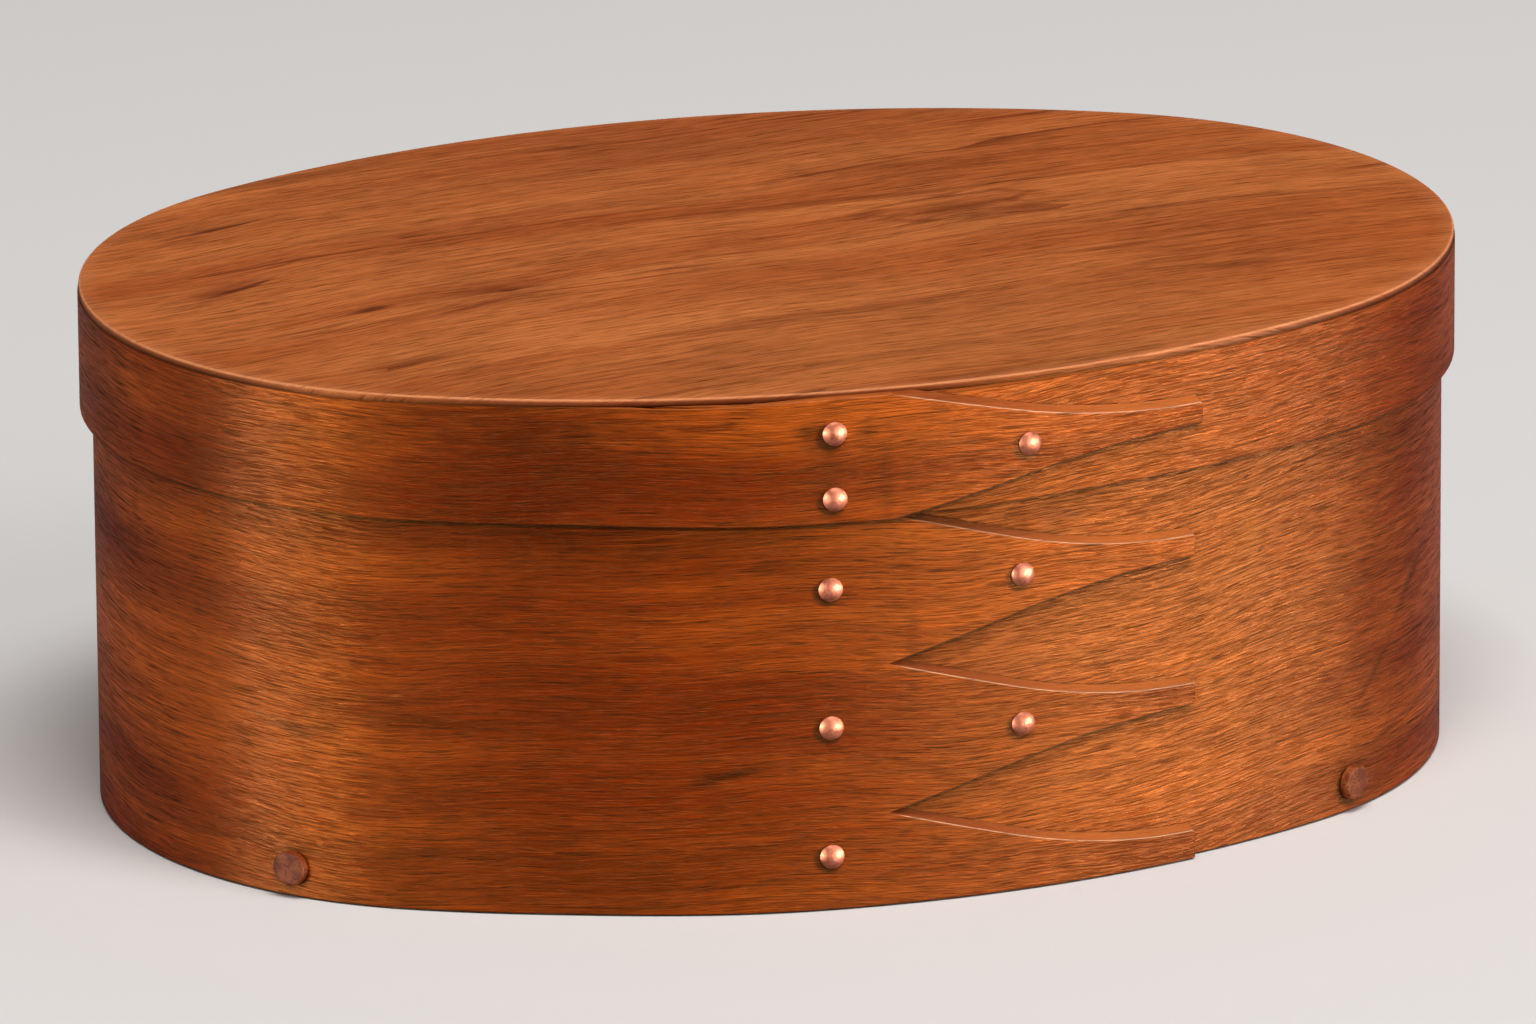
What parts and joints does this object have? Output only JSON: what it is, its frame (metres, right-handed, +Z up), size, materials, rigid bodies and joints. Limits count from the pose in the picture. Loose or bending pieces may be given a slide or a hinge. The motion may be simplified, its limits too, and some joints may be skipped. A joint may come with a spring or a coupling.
{
  "type": "oval bentwood box with lid",
  "caption": "Lidded oval box of thin bent wood, lapped at the front with swallowtail fingers and copper tacks, with solid wood bottom and lid boards.",
  "frame": {"origin": "on the underside, at the oval's centre, where the box rests", "axes": "+X along the oval, to the right as seen from the lapped front; +Y to the back, away from the fingers; +Z up"},
  "size_m": [0.22, 0.1551, 0.0838],
  "materials": {
    "band_wood": "oiled cherry strip, satin, grain along the strip",
    "board_wood": "oiled cherry board, satin, grain along the oval",
    "copper": "satin copper tack",
    "peg_wood": "end grain wooden peg, oiled"
  },
  "bodies": {
    "box": {"box_band": "band_wood", "bottom_board": "board_wood", "box_tack_1": "copper", "box_tack_2": "copper", "box_tack_3": "copper", "box_tack_4": "copper", "box_tack_5": "copper", "bottom_peg_1": "peg_wood", "bottom_peg_2": "peg_wood", "bottom_peg_3": "peg_wood", "bottom_peg_4": "peg_wood"},
    "lid": {"lid_band": "band_wood", "lid_board": "board_wood", "lid_tack_1": "copper", "lid_tack_2": "copper", "lid_tack_3": "copper"}
  },
  "joints": [
    {"name": "lid_lift", "type": "slide", "parent": "box", "child": "lid", "axis": [0, 0, 1], "range_m": [0, 0.1]}
  ]
}
